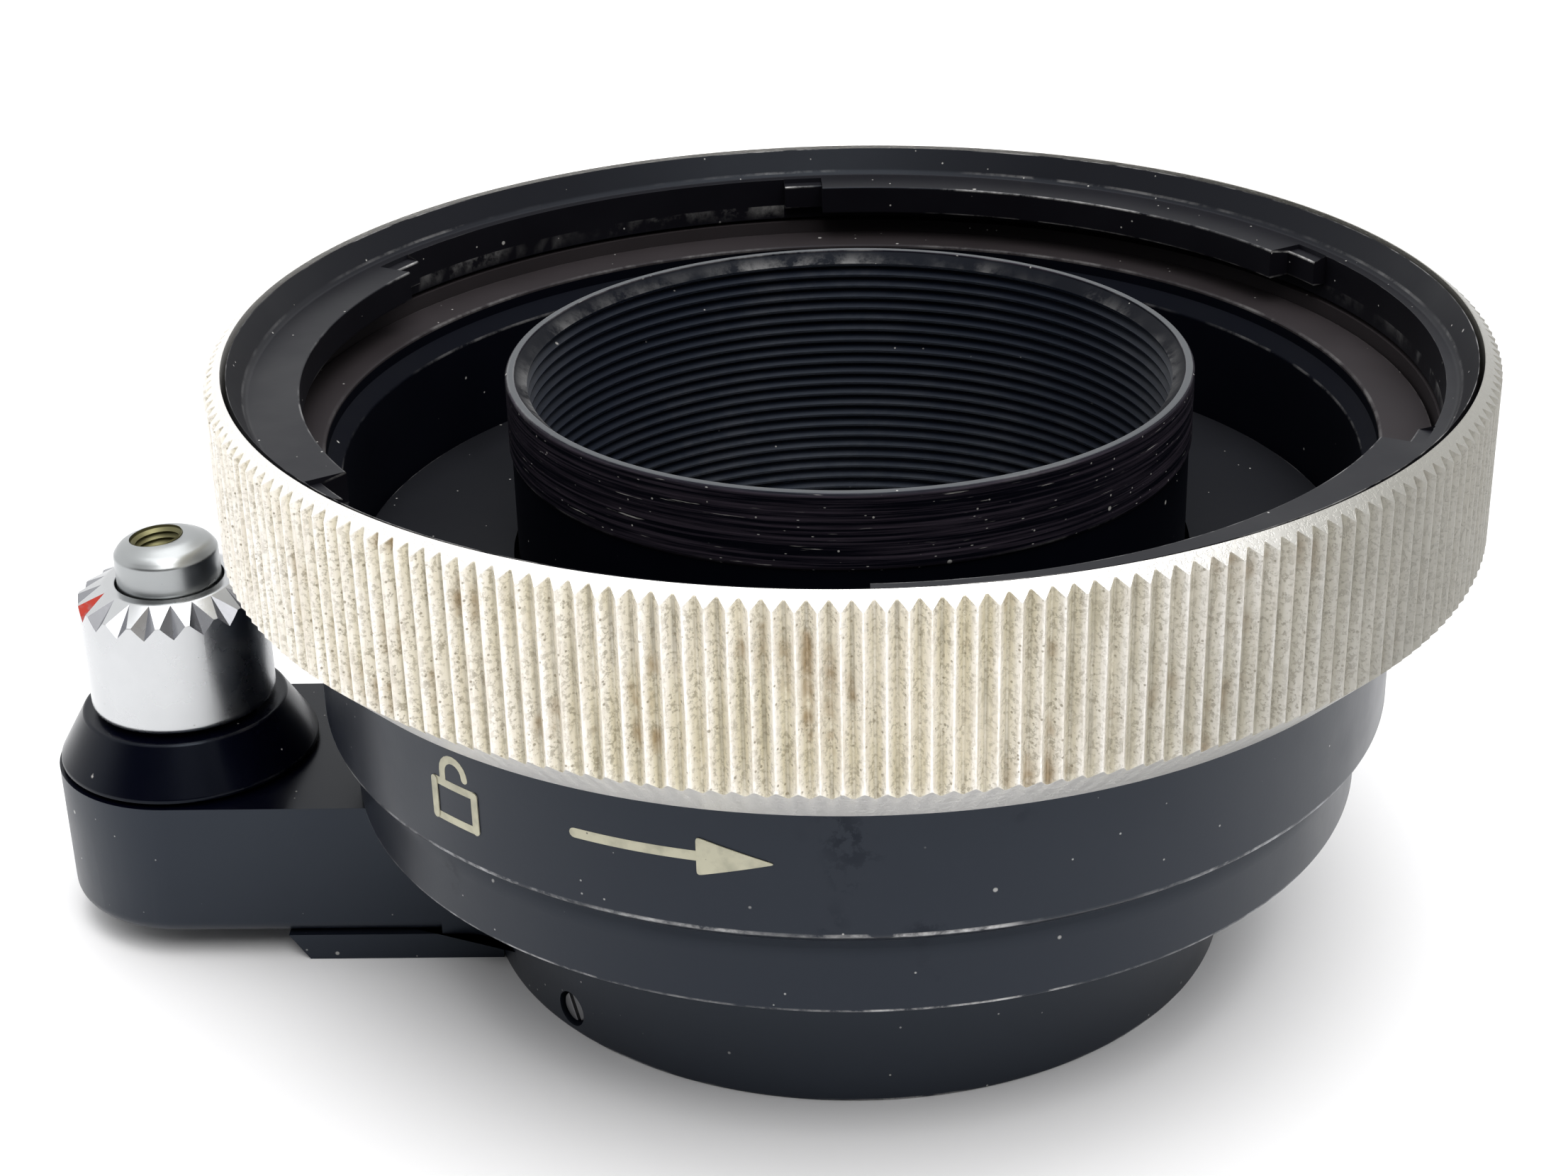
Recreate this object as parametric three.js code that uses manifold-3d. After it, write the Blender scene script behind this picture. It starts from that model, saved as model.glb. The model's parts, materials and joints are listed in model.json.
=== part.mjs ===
// Lens mount adapter with a breech-lock ring and a side arm that carries a shutter release button.
// Lengths are in millimetres. The optical axis is Z, the camera side is at z = 0 and the lens side is up.
// The arm points along -X.
import * as THREE from 'three';
import { mergeVertices } from 'three/addons/utils/BufferGeometryUtils.js';
import Module from 'manifold-3d';

const wasm = await Module();
wasm.setup();

// Driving dimensions
const GAP = 0.3;
const RING_R = 40;
const KNURL_COUNT = 220;
const KNURL_DEPTH = 0.55;
const RING_TOP = 41.5;
const RING_BOTTOM = 27.1;
const UPPER_SHELL_R = 34.75;
const SHELL_FLANGE_R = 36.4;
const SEAT_Z = 35.5;
const SEAT_INNER_R = 33.1;
const WELL_R = 32.2;
const WELL_FLOOR_Z = 26.9;
const SHOULDER_Z = 18.2;
const REAR_SHELL_R = 33.1;
const REAR_SHELL_TOP = 16.8;
const REAR_SHELL_BOTTOM = 12.1;
const FOOT_R = 25;
const FOOT_TOP = REAR_SHELL_BOTTOM - GAP;
const CAMERA_SEAT_Z = 6.1;
const TUBE_R = 21.7;
const TUBE_BORE_R = 20.2;
const TUBE_TOP = 39.1;
const RIDGE_PITCH = 3;
const RIDGE_DEPTH = 0.45;
const LUG_R = 34.3;
const LUG_TOP = 39.6;
const LUG_THICKNESS = 2;
const LUG_HALF_ANGLE = 33;
const ARM_X = -45.06;
const ARM_HALF_WIDTH = 8.8;
const ARM_TOP = 11.6;
const ARM_BOTTOM = 1.9;
const COLLAR_R = 6.1;
const COLLAR_NOTCHES = 20;
const CAP_R = 3.45;
const CAP_TOP = 27.5;
const PLUNGER_R = 1.5;
const PLUNGER_TIP_Z = 1.4;

const BIG = 64;
const MEDIUM = 40;
const SMALL = 20;
const TINY = 10;

const rad = THREE.MathUtils.degToRad;

// Materials
const blackAnodised = { color: 0x1b1d21, metalness: 0.5, roughness: 0.45 };
const bareAluminium = { color: 0xc9c5b8, metalness: 0.9, roughness: 0.4 };
const satinChrome = { color: 0xcfd1d3, metalness: 1, roughness: 0.25 };
const steel = { color: 0x8d9094, metalness: 1, roughness: 0.35 };

const group = new THREE.Group();
group.name = 'lens_mount_adapter';

function toSolid(geometry) {
  geometry.deleteAttribute('normal');
  geometry.deleteAttribute('uv');
  const merged = mergeVertices(geometry, 1e-4);
  const index = merged.index.array;
  const kept = [];
  for (let i = 0; i < index.length; i += 3) {
    const [a, b, c] = [index[i], index[i + 1], index[i + 2]];
    if (a !== b && b !== c && a !== c) {
      kept.push(a, b, c);
    }
  }
  const mesh = new wasm.Mesh({
    numProp: 3,
    vertProperties: new Float32Array(merged.attributes.position.array),
    triVerts: new Uint32Array(kept),
  });
  return new wasm.Manifold(mesh);
}

function addPart(name, solid, finish) {
  const mesh = solid.getMesh();
  const geometry = new THREE.BufferGeometry();
  geometry.setAttribute('position', new THREE.BufferAttribute(mesh.vertProperties, 3));
  geometry.setIndex(new THREE.BufferAttribute(mesh.triVerts, 1));
  geometry.computeVertexNormals();
  const part = new THREE.Mesh(geometry, new THREE.MeshStandardMaterial(finish));
  part.name = name;
  group.add(part);
}

function united(...solids) {
  return solids.reduce((whole, piece) => whole.add(piece));
}

function without(solid, ...cutters) {
  return cutters.reduce((whole, cutter) => whole.subtract(cutter), solid);
}

// Solid of revolution about a vertical axis through (x, y); the profile is a counter-clockwise
// loop of [radius, z] pairs.
function turned(profile, segments, x = 0, y = 0) {
  const points = [...profile, profile[0]].map(([r, z]) => new THREE.Vector2(r, z));
  const geometry = new THREE.LatheGeometry(points, segments);
  geometry.rotateX(Math.PI / 2);
  geometry.translate(x, y, 0);
  return toSolid(geometry);
}

function rod(radius, bottom, top, x, y, segments = SMALL) {
  return turned([[0, bottom], [radius, bottom], [radius, top], [0, top]], segments, x, y);
}

function tube(inner, outer, bottom, top, segments, x = 0, y = 0) {
  return turned([[inner, bottom], [outer, bottom], [outer, top], [inner, top]], segments, x, y);
}

function block(x0, x1, y0, y1, z0, z1) {
  const geometry = new THREE.BoxGeometry(x1 - x0, y1 - y0, z1 - z0);
  geometry.translate((x0 + x1) / 2, (y0 + y1) / 2, (z0 + z1) / 2);
  return toSolid(geometry);
}

// Upright prism over an outline of [x, y] pairs.
function prism(outline, bottom, top) {
  const shape = new THREE.Shape(outline.map(([x, y]) => new THREE.Vector2(x, y)));
  const geometry = new THREE.ExtrudeGeometry(shape, { depth: top - bottom, bevelEnabled: false });
  geometry.translate(0, 0, bottom);
  return toSolid(geometry);
}

// Prism lying along Y over an outline of [x, z] pairs.
function sidePrism(outline, y0, y1) {
  const shape = new THREE.Shape(outline.map(([x, z]) => new THREE.Vector2(x, z)));
  const geometry = new THREE.ExtrudeGeometry(shape, { depth: y1 - y0, bevelEnabled: false });
  geometry.rotateX(Math.PI / 2);
  geometry.translate(0, y1, 0);
  return toSolid(geometry);
}

// Upright arc-shaped block between two radii and two angles.
function sector(inner, outer, bottom, top, from, to) {
  const steps = Math.max(2, Math.ceil((to - from) / 5));
  const angles = Array.from({ length: steps + 1 }, (_, i) => rad(from + ((to - from) * i) / steps));
  const outside = angles.map((a) => [outer * Math.cos(a), outer * Math.sin(a)]);
  const inside = angles.map((a) => [inner * Math.cos(a), inner * Math.sin(a)]).reverse();
  return prism([...outside, ...inside], bottom, top);
}

class Helix extends THREE.Curve {
  constructor(radius, bottom, top, turns, x) {
    super();
    Object.assign(this, { radius, bottom, top, turns, x });
  }

  getPoint(t, target = new THREE.Vector3()) {
    const angle = 2 * Math.PI * this.turns * t;
    return target.set(
      this.x + this.radius * Math.cos(angle),
      this.radius * Math.sin(angle),
      this.bottom + (this.top - this.bottom) * t,
    );
  }
}

function spring(radius, wire, bottom, top, turns, x) {
  const section = new THREE.Shape();
  section.absarc(0, 0, wire / 2, 0, 2 * Math.PI);
  const geometry = new THREE.ExtrudeGeometry(section, {
    steps: turns * 12,
    curveSegments: 3,
    extrudePath: new Helix(radius, bottom + wire / 2, top - wire / 2, turns, x),
    bevelEnabled: false,
  });
  return toSolid(geometry);
}

// Breech-lock ring: silver grip ring with straight knurling
const knurlOutline = Array.from({ length: 2 * KNURL_COUNT }, (_, i) => {
  const radius = i % 2 === 0 ? RING_R : RING_R - KNURL_DEPTH;
  const angle = (Math.PI * i) / KNURL_COUNT;
  return [radius * Math.cos(angle), radius * Math.sin(angle)];
});
const gripBlank = turned(
  [[0, RING_BOTTOM], [36.7, RING_BOTTOM], [RING_R, 30.3], [RING_R, 40.7], [38.95, RING_TOP],
    [0, RING_TOP]],
  KNURL_COUNT,
);
const gripBore = turned(
  [[0, RING_BOTTOM - 1], [35.05, RING_BOTTOM - 1], [35.05, 30.6], [36.7, 30.6], [36.7, 36.3],
    [38.9, 36.3], [38.9, RING_TOP + 1], [0, RING_TOP + 1]],
  BIG,
);
const stopSlot = sector(34.6, 36.4, 29.4, 31, 86, 154);
addPart(
  'knurled_grip_ring',
  without(prism(knurlOutline, RING_BOTTOM - 1, RING_TOP + 1).intersect(gripBlank), gripBore, stopSlot),
  bareAluminium,
);

// Breech-lock ring: black inner ring with the three locking lugs
const lugRing = turned(
  [[36.8, 36.6], [38.6, 36.6], [38.6, 41.4], [37.7, 39.75], [37.7, LUG_TOP], [36.8, LUG_TOP]],
  BIG,
);
const lugs = [60, 180, 300].map((centre) => sector(
  LUG_R, 37.2, LUG_TOP - LUG_THICKNESS, LUG_TOP, centre - LUG_HALF_ANGLE, centre + LUG_HALF_ANGLE,
));
addPart('bayonet_lug_ring', united(lugRing, ...lugs), blackAnodised);

// Upper shell: retaining flange, lens seat, well and engraved band
const stopPin = { radius: 0.4, x: 0, y: 35.5 };
const shellScrewAngles = [45, 135, 225, 315];
const shellScrewSpots = shellScrewAngles.map(
  (a) => [31.7 * Math.cos(rad(a)), 31.7 * Math.sin(rad(a))],
);
const upperShell = turned(
  [[30.5, REAR_SHELL_TOP + GAP], [33.35, REAR_SHELL_TOP + GAP], [UPPER_SHELL_R, SHOULDER_Z],
    [UPPER_SHELL_R, 30.9], [SHELL_FLANGE_R, 30.9], [SHELL_FLANGE_R, SEAT_Z], [SEAT_INNER_R, SEAT_Z],
    [SEAT_INNER_R, 34.6], [WELL_R, 33.7], [WELL_R, 25], [30.5, 25]],
  BIG,
);
const indexNotch = block(-1.5, 1.5, -37, -32, 34.2, 36);
addPart(
  'upper_shell',
  without(
    upperShell,
    indexNotch,
    rod(stopPin.radius + GAP, 30, 33.5, stopPin.x, stopPin.y, TINY),
    ...shellScrewSpots.map(([x, y]) => rod(1.1, 16, 22.5, x, y, TINY)),
  ),
  blackAnodised,
);
addPart('ring_stop_pin', rod(stopPin.radius, 29.8, 33.2, stopPin.x, stopPin.y, TINY), steel);

// Rear shell closes the body from the camera side
const footScrewAngles = [20, 70, 290, 340];
const footScrewSpots = footScrewAngles.map((a) => [23.8 * Math.cos(rad(a)), 23.8 * Math.sin(rad(a))]);
const rearShell = turned(
  [[TUBE_R + 0.2, REAR_SHELL_BOTTOM], [REAR_SHELL_R, REAR_SHELL_BOTTOM], [REAR_SHELL_R, REAR_SHELL_TOP],
    [30.2, REAR_SHELL_TOP], [30.2, 13.9], [TUBE_R + 0.2, 13.9]],
  BIG,
);
addPart(
  'rear_shell',
  without(
    rearShell,
    ...footScrewSpots.map(([x, y]) => rod(1.0, 11, 15, x, y, TINY)),
    ...shellScrewSpots.map(([x, y]) => rod(1.1, 11, 18, x, y, TINY)),
    ...shellScrewSpots.map(([x, y]) => rod(1.25, 11, 13.4, x, y, TINY)),
  ),
  blackAnodised,
);
function screw(headRadius, shankRadius, headBottom, headTop, shankEnd, x, y) {
  const head = rod(headRadius, headBottom, headTop, x, y, TINY);
  const low = Math.min(headTop, shankEnd);
  const high = Math.max(headBottom, shankEnd);
  const shank = rod(shankRadius, low, high, x, y, TINY);
  const slotZ = shankEnd > headTop ? headBottom : headTop;
  const slot = block(x - headRadius, x + headRadius, y - 0.2, y + 0.2, slotZ - 0.35, slotZ + 0.35);
  return united(head, shank).subtract(slot);
}
shellScrewSpots.forEach(([x, y], i) => {
  addPart(`shell_screw_${i + 1}`, screw(0.95, 0.8, 12.3, 13.1, 22.2, x, y), steel);
});
footScrewSpots.forEach(([x, y], i) => {
  addPart(`foot_screw_${i + 1}`, screw(1.3, 0.7, 14.2, 15.2, 6.4, x, y), steel);
});

// Light-baffle tube and the floor of the well
const ridges = [];
for (let z = TUBE_TOP - 1; z > 14; z -= RIDGE_PITCH) {
  ridges.push([TUBE_BORE_R, z], [TUBE_BORE_R + RIDGE_DEPTH, z - RIDGE_PITCH / 2]);
}
addPart(
  'baffle_tube',
  turned(
    [[TUBE_BORE_R, 10.1], [22.3, 10.1], [22.3, 11.8], [21.55, 11.8], [21.55, 34.3], [TUBE_R, 34.5],
      [TUBE_R, 38.5], [21.1, TUBE_TOP], [TUBE_BORE_R + 0.2, TUBE_TOP], ...ridges],
    MEDIUM,
  ),
  blackAnodised,
);
addPart('well_floor_plate', tube(21.9, 31.9, WELL_FLOOR_Z - 1.6, WELL_FLOOR_Z, BIG), blackAnodised);

// Foot with the arm cast in one piece
const armOutline = [
  [ARM_X, -ARM_HALF_WIDTH], [-26.6, -ARM_HALF_WIDTH], [-24.6, -9.3], [-23, -10.6], [-21.7, -12.1],
  [-21.7, 12.1], [-23, 10.6], [-24.6, 9.3], [-26.6, ARM_HALF_WIDTH], [ARM_X, ARM_HALF_WIDTH],
];
const armEnd = turned(
  [[0, ARM_BOTTOM], [7.8, ARM_BOTTOM], [8.5, 2.2], [ARM_HALF_WIDTH, 2.9], [ARM_HALF_WIDTH, ARM_TOP],
    [0, ARM_TOP]],
  MEDIUM,
  ARM_X,
);
const footBlank = rod(FOOT_R, 0, FOOT_TOP, 0, 0, BIG);
const footBore = turned(
  [[0, -1], [22.6, -1], [22.6, CAMERA_SEAT_Z], [19.8, CAMERA_SEAT_Z], [19.8, 8], [22.6, 8],
    [22.6, 13], [0, 13]],
  BIG,
);
const armPocket = block(-36, -26.2, -5.4, 5.4, 1, 9);
const buttonWell = united(
  rod(5, 3.4, 12, ARM_X, 0, SMALL),
  rod(PLUNGER_R + GAP, 1, 4, ARM_X, 0, SMALL),
);
const grubAngles = [-136.6, -16.6, 103.4];
const GRUB_Z = 1.6;
function radialRod(radius, from, to, angle, z) {
  const geometry = new THREE.CylinderGeometry(radius, radius, to - from, TINY);
  geometry.rotateZ(-Math.PI / 2);
  geometry.translate((from + to) / 2, 0, 0);
  geometry.rotateZ(rad(angle));
  geometry.translate(0, 0, z);
  return toSolid(geometry);
}
const coverScrewSpots = [[-35.4, 7.1], [-35.4, -7.1], [-28.4, 7.1], [-28.4, -7.1]];
const bayonetScrewAngles = [0, 90, 180, 270];
const bayonetScrewSpots = bayonetScrewAngles.map((a) => [21 * Math.cos(rad(a)), 21 * Math.sin(rad(a))]);
addPart(
  'foot_and_arm',
  without(
    united(footBlank, prism(armOutline, ARM_BOTTOM, ARM_TOP), armEnd),
    footBore,
    armPocket,
    buttonWell,
    ...grubAngles.map((a) => radialRod(1.15, 22, 26, a, GRUB_Z)),
    ...footScrewSpots.map(([x, y]) => rod(1.0, 6.1, 13, x, y, TINY)),
    ...coverScrewSpots.map(([x, y]) => rod(0.95, 1, 6.2, x, y, TINY)),
    ...bayonetScrewSpots.map(([x, y]) => rod(0.9, 6.5, 9, x, y, TINY)),
  ),
  blackAnodised,
);
grubAngles.forEach((angle, i) => {
  const body = radialRod(0.85, 22.7, 24.8, angle, GRUB_Z);
  const slot = new THREE.BoxGeometry(0.8, 0.35, 2.4);
  slot.translate(24.9, 0, 0);
  slot.rotateZ(rad(angle));
  slot.translate(0, 0, GRUB_Z);
  addPart(`grub_screw_${i + 1}`, body.subtract(toSolid(slot)), steel);
});

// Camera-side bayonet, screwed to the foot's inner shelf
const claws = [90, 210, 330].map((centre) => sector(18.6, 20.4, 0.6, 2.1, centre - 20, centre + 20));
addPart(
  'camera_bayonet',
  without(
    united(
      turned(
        [[17.6, 0.6], [19.2, 0.6], [19.2, 8.3], [22.3, 8.3], [22.3, 9.8], [17.6, 9.8]],
        MEDIUM,
      ),
      ...claws,
    ),
    ...bayonetScrewSpots.map(([x, y]) => rod(0.9, 8, 10, x, y, TINY)),
    ...bayonetScrewSpots.map(([x, y]) => rod(1.25, 8.9, 10, x, y, TINY)),
  ),
  satinChrome,
);
bayonetScrewSpots.forEach(([x, y], i) => {
  addPart(`bayonet_screw_${i + 1}`, screw(0.95, 0.6, 9.2, 9.7, 6.8, x, y), steel);
});

// Plate that closes the pocket under the arm
const plateOutline = [[-37.8, 1.6], [-36.6, 0], [-21, 0], [-21, 1.6]];
addPart(
  'arm_cover_plate',
  without(
    sidePrism(plateOutline, -ARM_HALF_WIDTH, ARM_HALF_WIDTH),
    rod(FOOT_R + GAP, -1, 3, 0, 0, BIG),
    ...coverScrewSpots.map(([x, y]) => rod(0.95, -1, 3, x, y, TINY)),
    ...coverScrewSpots.map(([x, y]) => rod(1.4, -1, 1.0, x, y, TINY)),
  ),
  blackAnodised,
);
coverScrewSpots.forEach(([x, y], i) => {
  addPart(`cover_screw_${i + 1}`, screw(1.1, 0.65, 0.15, 0.75, 5.9, x, y), steel);
});

// Guide boss for the release button
addPart(
  'button_guide_boss',
  turned(
    [[1.9, 10.4], [4.7, 10.4], [4.7, ARM_TOP + GAP], [8.6, ARM_TOP + GAP], [8.6, 12.1], [6.8, 15.3],
      [4.6, 15.3], [4.6, 22.6], [3.75, 22.6], [3.75, 14], [1.9, 14]],
    MEDIUM,
    ARM_X,
  ),
  blackAnodised,
);

// Locking collar; each notch is a V groove milled at 45 degrees across its top edge
function notch(angle) {
  const half = 2.9;
  const section = new THREE.Shape([
    new THREE.Vector2(0, 0), new THREE.Vector2(half, 2), new THREE.Vector2(-half, 2),
  ]);
  const geometry = new THREE.ExtrudeGeometry(section, { depth: 5, bevelEnabled: false });
  const tangent = new THREE.Vector3(0, 1, 0);
  const outward = new THREE.Vector3(1, 0, 1).normalize();
  const along = new THREE.Vector3().crossVectors(tangent, outward);
  const placed = new THREE.Matrix4().makeBasis(tangent, outward, along);
  placed.setPosition(COLLAR_R - along.x * 2.5, 0, 22.55 - along.z * 2.5);
  geometry.applyMatrix4(placed);
  geometry.rotateZ(rad(angle));
  geometry.translate(ARM_X, 0, 0);
  return toSolid(geometry);
}
const collarBlank = turned(
  [[4.9, 15.6], [5.8, 15.6], [COLLAR_R, 15.9], [COLLAR_R, 23.4], [4.3, 24.3], [3.75, 24.3],
    [3.75, 22.9], [4.9, 22.9]],
  MEDIUM,
  ARM_X,
);
const notchAngles = Array.from({ length: COLLAR_NOTCHES }, (_, i) => -148.5 + (360 / COLLAR_NOTCHES) * i);
const notches = notchAngles.map((angle) => notch(angle));
addPart('locking_collar', without(collarBlank, ...notches), satinChrome);

// Release button: cap with a cable release socket, the rod that reaches through the arm, clip and spring
const socket = turned([[0, 23.3], [1.35, 23.3], [1.75, 29], [0, 29]], SMALL);
const capBlank = turned(
  [[0, 22.3], [2.95, 22.3], [2.95, 19], [CAP_R, 19], [CAP_R, 26.4], [3.1, 26.9], [2.4, CAP_TOP - 0.15],
    [0, CAP_TOP]],
  MEDIUM,
);
const tiltedSocket = socket.rotate([0, -6, 0]).translate([2.55, 0, 0]);
const cap = capBlank.subtract(tiltedSocket).translate([ARM_X, 0, 0]);
addPart('button_cap', cap, satinChrome);
addPart('plunger_rod', rod(PLUNGER_R, PLUNGER_TIP_Z, 22, ARM_X, 0), steel);
addPart('plunger_clip', tube(1.8, 2.4, 9.8, 10.1, SMALL, ARM_X), steel);
addPart('button_spring', spring(2.3, 0.5, 14.3, 22, 5, ARM_X), steel);

export default group;
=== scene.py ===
"""Lens mount adapter: detailed pieces, materials and studio around the CAD frame."""
import json
import math

import bmesh
import bpy
from mathutils import Matrix, Vector


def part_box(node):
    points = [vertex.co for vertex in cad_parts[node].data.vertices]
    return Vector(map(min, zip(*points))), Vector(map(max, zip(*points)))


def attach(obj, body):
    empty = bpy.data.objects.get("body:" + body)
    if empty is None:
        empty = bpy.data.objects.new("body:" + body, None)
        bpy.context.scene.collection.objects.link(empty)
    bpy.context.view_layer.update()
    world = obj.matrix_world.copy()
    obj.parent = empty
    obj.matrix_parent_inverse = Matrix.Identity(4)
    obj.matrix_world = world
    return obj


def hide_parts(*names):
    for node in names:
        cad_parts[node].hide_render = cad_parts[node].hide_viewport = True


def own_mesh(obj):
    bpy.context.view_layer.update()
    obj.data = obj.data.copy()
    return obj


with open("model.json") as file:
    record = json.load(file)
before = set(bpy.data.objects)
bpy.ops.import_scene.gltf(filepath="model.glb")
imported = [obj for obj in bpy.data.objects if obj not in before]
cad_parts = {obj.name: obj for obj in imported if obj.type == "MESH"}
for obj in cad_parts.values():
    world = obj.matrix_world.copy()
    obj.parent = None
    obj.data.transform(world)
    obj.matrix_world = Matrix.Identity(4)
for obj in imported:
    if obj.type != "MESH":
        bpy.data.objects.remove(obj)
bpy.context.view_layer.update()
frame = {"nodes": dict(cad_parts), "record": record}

MM = 0.001
TAU = 2 * math.pi


# ---------------------------------------------------------------- sizes
# Millimetres. Sizes that a CAD node's box gives are read from it; the others repeat the CAD's dimensions.
def box_mm(node):
    low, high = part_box(node)
    return [v / MM for v in low], [v / MM for v in high]


GRIP_LO, GRIP_HI = box_mm("knurled_grip_ring")
LUG_HI = box_mm("bayonet_lug_ring")[1]
UPPER_LO, UPPER_HI = box_mm("upper_shell")
REAR_LO, REAR_HI = box_mm("rear_shell")
TUBE_LO, TUBE_HI = box_mm("baffle_tube")
FLOOR_LO, FLOOR_HI = box_mm("well_floor_plate")
FOOT_LO, FOOT_HI = box_mm("foot_and_arm")
BOSS_LO, BOSS_HI = box_mm("button_guide_boss")
COLLAR_LO, COLLAR_HI = box_mm("locking_collar")
CAP_LO, CAP_HI = box_mm("button_cap")

RING_R = GRIP_HI[0]
UPPER_R = 34.75
REAR_R = REAR_HI[0]
FOOT_R = FOOT_HI[0]
FOOT_TOP = FOOT_HI[2]
ARM_X = (COLLAR_LO[0] + COLLAR_HI[0]) / 2
ARM_HALF = 8.8
COLLAR_R = (COLLAR_HI[0] - COLLAR_LO[0]) / 2
CAP_R = (CAP_HI[0] - CAP_LO[0]) / 2
TUBE_R = 21.7
COVER_SCREWS = [(-35.4, 7.1), (-35.4, -7.1), (-28.4, 7.1), (-28.4, -7.1)]
SHELL_SCREWS = [(31.7 * math.cos(math.radians(angle)), 31.7 * math.sin(math.radians(angle)))
                for angle in (45, 135, 225, 315)]
GRUB_ANGLES = (-136.6, -16.6, 103.4)
GRUB_HEIGHT = 1.6


# ---------------------------------------------------------------- mesh helpers
def shade(mesh, sharp_angle=28):
    for polygon in mesh.polygons:
        polygon.use_smooth = True
    mesh.set_sharp_from_angle(angle=math.radians(sharp_angle))


def new_object(name, bm, sharp_angle=28):
    """Closes a bmesh into an object with smooth shading split at sharp edges."""
    bmesh.ops.remove_doubles(bm, verts=bm.verts, dist=2e-7)
    bmesh.ops.recalc_face_normals(bm, faces=bm.faces)
    mesh = bpy.data.meshes.new(name)
    bm.to_mesh(mesh)
    bm.free()
    shade(mesh, sharp_angle)
    obj = bpy.data.objects.new(name, mesh)
    bpy.context.scene.collection.objects.link(obj)
    return obj


def close_round(bm, columns):
    """Faces between closed columns of vertices, all the way round."""
    rows = len(columns[0])
    for i, column in enumerate(columns):
        following = columns[(i + 1) % len(columns)]
        for j in range(rows):
            k = (j + 1) % rows
            bm.faces.new((column[j], following[j], following[k], column[k]))


def revolve(name, angles, profile_at, centre=(0, 0), sharp_angle=28):
    """Sweeps a closed profile round Z. profile_at(angle) gives (radius, z, wear) points."""
    bm = bmesh.new()
    wear = bm.verts.layers.float.new("wear")
    columns = []
    for angle in angles:
        column = []
        for radius, z, worn in profile_at(angle):
            vert = bm.verts.new((
                (centre[0] + radius * math.cos(angle)) * MM,
                (centre[1] + radius * math.sin(angle)) * MM,
                z * MM,
            ))
            vert[wear] = worn
            column.append(vert)
        columns.append(column)
    close_round(bm, columns)
    return new_object(name, bm, sharp_angle)


def even_angles(count):
    return [TAU * i / count for i in range(count)]


def rounded(corners, steps=3, guard=0.02):
    """Rounds the corners of a closed (r, z, radius, wear) profile; worn corners keep their wear."""
    points = []
    count = len(corners)
    for i, (r, z, radius, worn) in enumerate(corners):
        here = Vector((r, z))
        if radius <= 0:
            points.append((r, z, worn))
            continue
        back = Vector(corners[i - 1][:2]) - here
        ahead = Vector(corners[(i + 1) % count][:2]) - here
        reach = min(radius, back.length * 0.45, ahead.length * 0.45)
        start = here + back.normalized() * reach
        end = here + ahead.normalized() * reach
        before = here + back.normalized() * min(reach + guard, back.length * 0.5)
        after = here + ahead.normalized() * min(reach + guard, ahead.length * 0.5)
        points.append((before.x, before.y, 0.0))
        for k in range(steps + 1):
            t = k / steps
            p = start * (1 - t) ** 2 + here * 2 * t * (1 - t) + end * t ** 2
            points.append((p.x, p.y, worn * math.sin(math.pi * min(max(t, 0.15), 0.85))))
        points.append((after.x, after.y, 0.0))
    return points


def revolve_plain(name, corners, count=256, centre=(0, 0), steps=3):
    profile = rounded(corners, steps)
    return revolve(name, even_angles(count), lambda angle: profile, centre)


def prism_bm(outline, low, high):
    bm = bmesh.new()
    bottom = [bm.verts.new((x * MM, y * MM, low * MM)) for x, y in outline]
    top = [bm.verts.new((x * MM, y * MM, high * MM)) for x, y in outline]
    bm.faces.new(list(reversed(bottom)))
    bm.faces.new(top)
    count = len(outline)
    for i in range(count):
        j = (i + 1) % count
        bm.faces.new((bottom[i], bottom[j], top[j], top[i]))
    return bm


def cylinder_bm(radius, low, high, x, y, count=64):
    return prism_bm(
        [(x + radius * math.cos(a), y + radius * math.sin(a)) for a in even_angles(count)], low, high,
    )


def box_bm(x0, x1, y0, y1, z0, z1):
    return prism_bm([(x0, y0), (x1, y0), (x1, y1), (x0, y1)], z0, z1)


def combine(target, tools, operation):
    """Applies booleans of throwaway tool objects to target."""
    for tool in tools:
        modifier = target.modifiers.new(operation, "BOOLEAN")
        modifier.operation = operation
        modifier.solver = "EXACT"
        modifier.object = tool
    bpy.context.view_layer.update()
    evaluated = target.evaluated_get(bpy.context.evaluated_depsgraph_get())
    mesh = bpy.data.meshes.new_from_object(evaluated)
    target.modifiers.clear()
    old = target.data
    target.data = mesh
    bpy.data.meshes.remove(old)
    for tool in tools:
        tool_mesh = tool.data
        bpy.data.objects.remove(tool)
        bpy.data.meshes.remove(tool_mesh)


def cut(target, *shapes):
    combine(target, [new_object("tool", bm) for bm in shapes], "DIFFERENCE")


def rewear(obj, worn_at):
    """Writes the wear of every vertex anew after booleans."""
    stale = obj.data.attributes.get("wear")
    if stale:
        obj.data.attributes.remove(stale)
    wear = obj.data.attributes.new("wear", "FLOAT", "POINT")
    for vert in obj.data.vertices:
        wear.data[vert.index].value = worn_at(vert.co)


def soften(obj, width, segments=2, angle=35):
    """Bevels the sharp edges and keeps flat faces flat."""
    bevel = obj.modifiers.new("bevel", "BEVEL")
    bevel.width = width * MM
    bevel.segments = segments
    bevel.limit_method = "ANGLE"
    bevel.angle_limit = math.radians(angle)
    bevel.harden_normals = True
    bevel.use_clamp_overlap = True


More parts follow.
